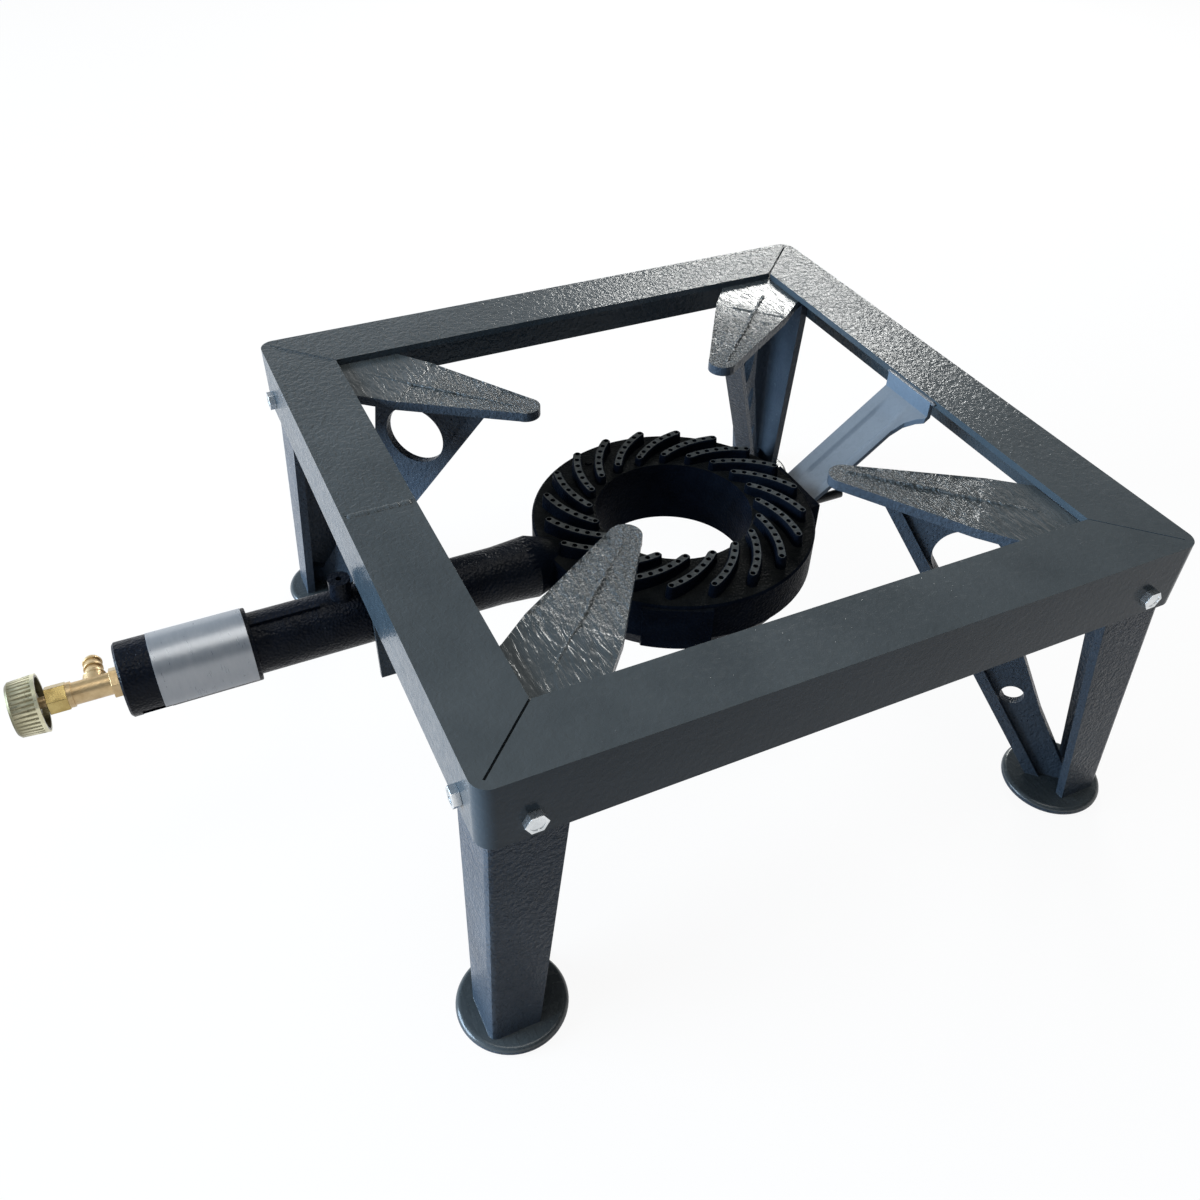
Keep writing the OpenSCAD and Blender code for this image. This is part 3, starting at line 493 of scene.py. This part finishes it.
def soften(bm, width, segments, sharper_than=38):
    """Rounds over the edges that turn by more than an angle in degrees."""
    edges = [e for e in bm.edges
             if len(e.link_faces) == 2 and e.calc_face_angle(0) > math.radians(sharper_than)]
    bmesh.ops.bevel(bm, geom=edges, offset=width, offset_type="OFFSET", segments=segments,
                    profile=0.6, affect="EDGES", clamp_overlap=True)
    bmesh.ops.triangulate(bm, faces=[f for f in bm.faces if len(f.verts) > 4])


def cut(bm, geom, through, normal):
    """Cuts geom along a plane, and returns the faces that result."""
    done = bmesh.ops.bisect_plane(bm, geom=geom, plane_co=through, plane_no=normal, dist=0.001 * MM)
    return [g for g in done["geom"] if isinstance(g, bmesh.types.BMFace)]


def cut_grid(bm, faces, axes, step):
    """Cuts a flat face into a net of small ones, so that its relief can be modelled."""
    for axis in axes:
        spots = [v.co.dot(axis) for f in faces for v in f.verts]
        at = min(spots) + step / 2
        while at < max(spots):
            edges = {e for f in faces for e in f.edges}
            corners = {v for f in faces for v in f.verts}
            faces = cut(bm, faces + list(edges) + list(corners), axis * at, axis)
            at += step
    return faces


def corner_axes(corner):
    """A leg's own directions: out from the middle to its corner, and sideways."""
    out = Vector((*corner, 0)).normalized()
    return out, Vector((-out.y, out.x, 0))


def skin_over(points, sections, name, node, material=None, angle=60):
    """A closed skin over a row of cross-sections, each a list of (side, up) pairs, laid along points.
    Each point is (position, side direction, up direction)."""
    bm = bmesh.new()
    rings = []
    for (at, side, up), section in zip(points, sections):
        rings.append([bm.verts.new(at + side * a + up * b) for a, b in section])
    for one, two in zip(rings, rings[1:]):
        for i in range(len(one)):
            j = (i + 1) % len(one)
            bm.faces.new((one[i], one[j], two[j], two[i]))
    bm.faces.new(rings[0][::-1])
    bm.faces.new(rings[-1])
    bmesh.ops.recalc_face_normals(bm, faces=bm.faces)
    finish_piece(name, bm, node, material, angle)


# Pieces that are the CAD node's own form with its edges rounded over

def dress(node, width, segments, second=None):
    bm = node_bmesh(node)
    soften(bm, width, segments)
    finish_piece(node + "_dressed", bm, node, replaces=(node,), second=second)


# Legs

# uneven skin of the sand casting: (waves per metre outward, and sideways, height, its own seed)
SKIN_WAVES = ((330, 75, 0.75 * MM, 0), (520, 520, 0.30 * MM, 9), (60, 60, 0.60 * MM, 5))
SKIN_DROP = 0.45 * MM
# every outer edge is longer than this
LONG_EDGE = 8 * MM
# how exactly a corner or face has to lie where it is looked for
NEAR = 0.1 * MM


def outer_edges(bm, out, side):
    """The long edges that run down a leg's outer corner."""
    centre = Vector((CENTRE_X, 0, 0))
    return [e for e in bm.edges if len(e.link_faces) == 2
            and all(abs((v.co - centre).dot(side)) < NEAR for v in e.verts)
            and abs(e.verts[0].co.z - e.verts[1].co.z) > LONG_EDGE
            and all((v.co - centre).dot(out) > HALF * 1.1 for v in e.verts)]


def finger_top(bm):
    level = [f for f in bm.faces
             if f.normal.z > 0.999 and abs(f.calc_center_median().z - FLANGE_Z) < NEAR]
    return max(level, key=lambda f: f.calc_area())


def dress_leg(node, corner, seed):
    """A leg with a chamfered corner, rounded edges and an uneven skin on its finger."""
    bm = node_bmesh(node)
    out, side = corner_axes(corner)
    bmesh.ops.bevel(bm, geom=outer_edges(bm, out, side), offset=LEG_CHAMFER, offset_type="OFFSET",
                    segments=2, profile=0.5, affect="EDGES", clamp_overlap=True)
    soften(bm, LEG_EDGE, 3)
    bm.normal_update()
    faces = cut_grid(bm, [finger_top(bm)], (out, side), GRID_STEP)
    inside = set(faces)
    rim = {v for f in faces for v in f.verts if any(g not in inside for g in v.link_faces)}
    for v in {v for f in faces for v in f.verts} - rim:
        rel = v.co - Vector((CENTRE_X, 0, 0))
        a, b = rel.dot(out), rel.dot(side)
        rise = sum(noise.noise(Vector((a * outward, b * sideways, seed + own))) * height
                   for outward, sideways, height, own in SKIN_WAVES)
        v.co.z += rise - SKIN_DROP
    finish_piece(node + "_dressed", bm, node, replaces=(node,), second=(FINGER_MATERIAL[node], on_finger_top))


for seed, (node, corner) in enumerate(LEG_CORNER.items()):
    dress_leg(node, corner, 3.0 + seed)


# Frame, burner, valve and fasteners

# edge rounding in mm, and its segments
EDGES = {
    "top_frame": (0.9, 3),
    "burner_base": (1.0, 2),
    "tube_bracket": (0.6, 2),
    "label_plate": (0.2, 2),
    "control_knob": (0.25, 2),
    "valve_body": (0.3, 2),
    "hose_barb": (0.2, 2),
    "packing_nut": (0.5, 2),
    "jam_nut": (0.5, 2),
    "leg_bolts": (0.4, 2),
    "leg_nuts": (0.4, 2),
    "base_screws": (0.3, 2),
    "strap_bolt": (0.3, 2),
    "strap_nut": (0.4, 2),
    "bracket_bolt": (0.4, 2),
    "bracket_nut": (0.4, 2),
    "injector": (0.2, 2),
    "valve_spindle": (0.2, 2),
    "knob_screw": (0.15, 2),
}
for node, (width, segments) in EDGES.items():
    dress(node, width * MM, segments)

dress("burner_body", 0.4 * MM, 2, second=("tube_casting", on_tube))


# Mould seams on the fingers

SEAM_STEP = 1.1 * MM
SEAM_WANDER = 0.3 * MM
SEAM_ROOT = 0.4 * MM
SEAM_START = FINGER_TIP + 4 * MM
SEAM_END = FINGER_ROOT - 12 * MM


def casting_seam(node, side_at, height, width, seed):
    """The jagged fin left by the mould's parting line, along the top of a finger."""
    rnd = random.Random(seed)
    out, side = corner_axes(LEG_CORNER[node])
    length = SEAM_END - SEAM_START
    count = int(length / SEAM_STEP)
    points, sections = [], []
    wander = 0.0
    for i in range(count + 1):
        t = i / count
        wander = 0.85 * wander + rnd.uniform(-SEAM_WANDER, SEAM_WANDER)
        fade = min(1.0, 6 * t + 0.1, 6 * (1 - t) + 0.1)
        h = height * fade * rnd.uniform(0.25, 1.0)
        w = width * rnd.uniform(0.55, 1.0)
        at = Vector((CENTRE_X, 0, FLANGE_Z)) + out * (SEAM_START + length * t)
        points.append((at + side * (side_at + wander), side, UP))
        sections.append([(-w / 2, -SEAM_ROOT), (w / 2, -SEAM_ROOT), (w / 2, 0.05 * h), (w / 6, 0.8 * h),
                         (-w / 5, h), (-w / 2, 0.1 * h)])
    skin_over(points, sections, "seam_" + node[4:], node, FINGER_MATERIAL[node])


casting_seam("leg_front_left", side_at=1 * MM, height=0.7 * MM, width=2.6 * MM, seed=11)
casting_seam("leg_front_right", side_at=3.5 * MM, height=1.3 * MM, width=3.2 * MM, seed=12)
casting_seam("leg_back_right", side_at=-2.5 * MM, height=1.2 * MM, width=3.0 * MM, seed=13)
casting_seam("leg_back_left", side_at=2 * MM, height=0.8 * MM, width=2.8 * MM, seed=14)


# Strap

# relief of the strap in mm: (distance from its back edge, height), for a flat back band, a crease,
# a shallow channel and a raised front edge
STRAP_RELIEF = ((0.0, 0.0), (7.5, 0.2), (9.0, -0.2), (10.0, -2.6), (11.5, -2.0), (23.5, -1.6), (25.0, -1.2),
                (26.5, 0.6), (28.5, 0.8), (31.0, -0.6), (42.0, 0.0))
STRAP_CUTS = (0.3, *(across for across, _ in STRAP_RELIEF[1:-2]), 30.5)
# shares of the strap's reach: where the relief starts, is full and ends, and over how much it falls
RELIEF_START = 0.10
RELIEF_FULL = 0.16
RELIEF_END = 0.90
RELIEF_FALL = 0.10
REACH_CUTS = (RELIEF_START, RELIEF_FULL, 0.76, 0.84, RELIEF_END)


def clamped(value):
    return min(1.0, max(0.0, value))


def strap_relief(across):
    for (a0, h0), (a1, h1) in zip(STRAP_RELIEF, STRAP_RELIEF[1:]):
        if a0 <= across <= a1:
            return h0 + (h1 - h0) * (across - a0) / (a1 - a0)
    return 0.0


def dress_strap():
    """The strap with its sloping part pressed into a shallow channel."""
    bm = node_bmesh("rear_strap")
    reach = strap_high.x - strap_low.x
    for across in STRAP_CUTS:
        spot = Vector((0, strap_high.y - across * MM, 0))
        cut(bm, bm.faces[:] + bm.edges[:] + bm.verts[:], spot, (0, 1, 0))
    for share in REACH_CUTS:
        spot = Vector((strap_low.x + reach * share, 0, 0))
        cut(bm, bm.faces[:] + bm.edges[:] + bm.verts[:], spot, (1, 0, 0))
    for v in bm.verts:
        share = (v.co.x - strap_low.x) / reach
        fade_in = clamped((share - RELIEF_START) / (RELIEF_FULL - RELIEF_START))
        fade_out = clamped((RELIEF_END - share) / RELIEF_FALL)
        v.co.z += fade_in * fade_out * strap_relief((strap_high.y - v.co.y) / MM) * MM
    soften(bm, STRAP_EDGE, 2)
    finish_piece("rear_strap_dressed", bm, "rear_strap", replaces=("rear_strap",))


dress_strap()


# Welds

def weld_line(name, node, start, end, up, side, width, height, seed, step=1.5 * MM):
    """A hand-laid weld: overlapping rounded scales, uneven in width and height."""
    rnd = random.Random(seed)
    start, end = Vector(start), Vector(end)
    up, side = Vector(up), Vector(side)
    count = max(6, int((end - start).length / step) * 3)
    turns = [2 * math.pi * k / 10 for k in range(10)]
    points, sections = [], []
    w, h = width, height
    for i in range(count + 1):
        if i % 3 == 0:
            w, h = width * rnd.uniform(0.75, 1.1), height * rnd.uniform(0.7, 1.1)
        scale = (0.86, 1.0, 0.93)[i % 3] * min(1.0, (i + 1) / 3, (count - i + 1) / 3)
        points.append((start.lerp(end, i / count), side, up))
        sections.append([(w * scale / 2 * math.cos(a), h * scale * max(math.sin(a), -0.35)) for a in turns])
    skin_over(points, sections, name, node, angle=70)


RAIL_WELD_Z = TOP_Z - 0.15 * MM
weld_line("rail_weld", "frame_weld",
          start=(CENTRE_X - HALF + WELD_INSET, RAIL_WELD_Y, RAIL_WELD_Z),
          end=(CENTRE_X - INNER - WELD_INSET, RAIL_WELD_Y, RAIL_WELD_Z),
          up=(0, 0, 1), side=(0, 1, 0), width=5.5 * MM, height=0.75 * MM, seed=41, step=1.6 * MM)

# the strap's tab is welded to the right rail at both its ends
TAB_X = CENTRE_X + INNER - TAB_WELD_INSET
for i, (y, outward) in enumerate(((strap_low.y, -1), (strap_high.y, 1))):
    weld_line(f"tab_weld_{i}", "rear_strap",
              start=(TAB_X, y, TOP_Z - 3.4 * MM), end=(TAB_X, y, TOP_Z - 0.9 * MM),
              up=(0, outward, 0), side=(1, 0, 0), width=3.6 * MM, height=2.6 * MM, seed=31 + i)


# CAD nodes that are shown as they are

for name in ("frame_weld", "injector_seal", "spindle_packing"):
    mesh = NODES[name].data
    mesh.materials.clear()
    mesh.materials.append(MATS[SLOT_OF[name]])


# Floor

FLOOR_HALF = 9.0
FLOOR_DROP = 0.3 * MM
FLOOR_WHITE = 0.93


def seen_white(tree):
    """1 for rays that look at the floor or are mirrored by the object, 0 for rays that light it."""
    path = tree.nodes.new("ShaderNodeLightPath")
    shown = math_node(tree, "MAXIMUM", path.outputs["Is Camera Ray"], path.outputs["Is Glossy Ray"])
    return math_node(tree, "MAXIMUM", shown, path.outputs["Is Transmission Ray"])


def floor_material():
    """A white sheet: it keeps the object's soft shadow, and shows nearly white."""
    mat, tree, shader = new_material("floor_white")
    set_colour(tree, shader, mix_colour(tree, seen_white(tree), (0.24, 0.26, 0.29), grey(0.95)))
    shader.inputs["Roughness"].default_value = 0.9
    shader.inputs["Specular IOR Level"].default_value = 0.05
    glow = tree.nodes.new("ShaderNodeEmission")
    glow.inputs["Color"].default_value = (1, 1, 1, 1)
    glow.inputs["Strength"].default_value = 1.0
    mix = tree.nodes.new("ShaderNodeMixShader")
    tree.links.new(times(tree, seen_white(tree), FLOOR_WHITE), mix.inputs[0])
    tree.links.new(shader.outputs["BSDF"], mix.inputs[1])
    tree.links.new(glow.outputs[0], mix.inputs[2])
    out = [n for n in tree.nodes if n.type == "OUTPUT_MATERIAL"][0]
    tree.links.new(mix.outputs[0], out.inputs["Surface"])
    return mat


def build_floor():
    mesh = bpy.data.meshes.new("floor")
    r = FLOOR_HALF
    mesh.from_pydata([(-r, -r, 0), (r, -r, 0), (r, r, 0), (-r, r, 0)], [], [(0, 1, 2, 3)])
    floor = bpy.data.objects.new("floor", mesh)
    floor.location.z = -FLOOR_DROP
    bpy.context.scene.collection.objects.link(floor)
    mesh.materials.append(floor_material())


# Light

# the sky's colour at the sine of its height, from the horizon up
SKY = ((0.0, (0.86, 0.92, 1.0)), (0.10, (0.80, 0.86, 0.95)), (0.30, (0.24, 0.26, 0.29)),
       (1.0, (0.32, 0.34, 0.36)))
BACKDROP_WHITE = 0.98
# sines of 30 and 20 degrees: the white backdrop ends between them
BACKDROP_END = 0.50
BACKDROP_FULL = 0.34


def build_world():
    """A dim room with a pale horizon, so that the sky mirrored in the paint stays dark. Behind the
    floor it shows as a white backdrop."""
    world = bpy.data.worlds.new("world")
    bpy.context.scene.world = world
    world.use_nodes = True
    tree = world.node_tree
    tree.nodes.clear()
    east, north, height = split(tree, tree.nodes.new("ShaderNodeTexCoord").outputs["Generated"])
    sky = tree.nodes.new("ShaderNodeBackground")
    tree.links.new(ramp(tree, height, *SKY), sky.inputs["Color"])
    from_window = step_map(tree, east, 0.8, -0.8, 0.45, 1.1)
    from_front = step_map(tree, north, -0.9, 0.3, 0.30, 1.0)
    tree.links.new(times(tree, from_window, from_front), sky.inputs["Strength"])
    white = tree.nodes.new("ShaderNodeBackground")
    white.inputs["Color"].default_value = (1, 1, 1, 1)
    white.inputs["Strength"].default_value = BACKDROP_WHITE
    low_sky = step_map(tree, height, BACKDROP_END, BACKDROP_FULL)
    mix = tree.nodes.new("ShaderNodeMixShader")
    tree.links.new(times(tree, seen_white(tree), low_sky), mix.inputs[0])
    tree.links.new(sky.outputs[0], mix.inputs[1])
    tree.links.new(white.outputs[0], mix.inputs[2])
    out = tree.nodes.new("ShaderNodeOutputWorld")
    tree.links.new(mix.outputs[0], out.inputs["Surface"])


def area_light(name, location, target, size, power, colour):
    data = bpy.data.lights.new(name, "AREA")
    data.shape = "RECTANGLE"
    data.size, data.size_y = size
    data.energy = power
    data.color = colour
    obj = bpy.data.objects.new(name, data)
    obj.location = location
    obj.rotation_euler = (Vector(target) - Vector(location)).to_track_quat("-Z", "Y").to_euler()
    bpy.context.scene.collection.objects.link(obj)


# Camera, solved from the photo's perspective on the frame's corners

CAMERA_LENS = 33.006
CAMERA_AT = Vector((CENTRE_X - 0.27826, -0.46810, TOP_Z + 0.35034))
CAMERA_RIGHT = Vector((0.905214, -0.424498, 0.019735))
CAMERA_UP = Vector((0.268561, 0.607444, 0.747587))
CAMERA_BACK = Vector((-0.329337, -0.671426, 0.663871))


def build_camera():
    data = bpy.data.cameras.new("camera")
    data.sensor_fit = "HORIZONTAL"
    data.sensor_width = 36.0
    data.lens = CAMERA_LENS
    data.clip_start = 0.02
    data.clip_end = 50
    cam = bpy.data.objects.new("camera", data)
    bpy.context.scene.collection.objects.link(cam)
    columns = (CAMERA_RIGHT, CAMERA_UP, CAMERA_BACK, CAMERA_AT)
    cam.matrix_world = Matrix([[column[row] for column in columns] for row in range(3)] + [[0, 0, 0, 1]])
    bpy.context.scene.camera = cam


build_floor()
build_world()
build_camera()
area_light("window", location=(-2.3, 0.5, 0.75), target=(CENTRE_X, 0, 0.12),
           size=(1.8, 1.3), power=145, colour=(0.60, 0.79, 1.0))
area_light("key", location=(0.15, -0.1, 2.3), target=(CENTRE_X, 0, 0.1),
           size=(1.4, 1.2), power=16, colour=(1.0, 0.98, 0.94))
area_light("back", location=(1.32, 1.67, 1.03), target=(CENTRE_X + 0.18, 0.18, 0.2),
           size=(0.7, 0.4), power=22, colour=(1.0, 1.0, 0.97))

view = bpy.context.scene.view_settings
view.view_transform = "Standard"
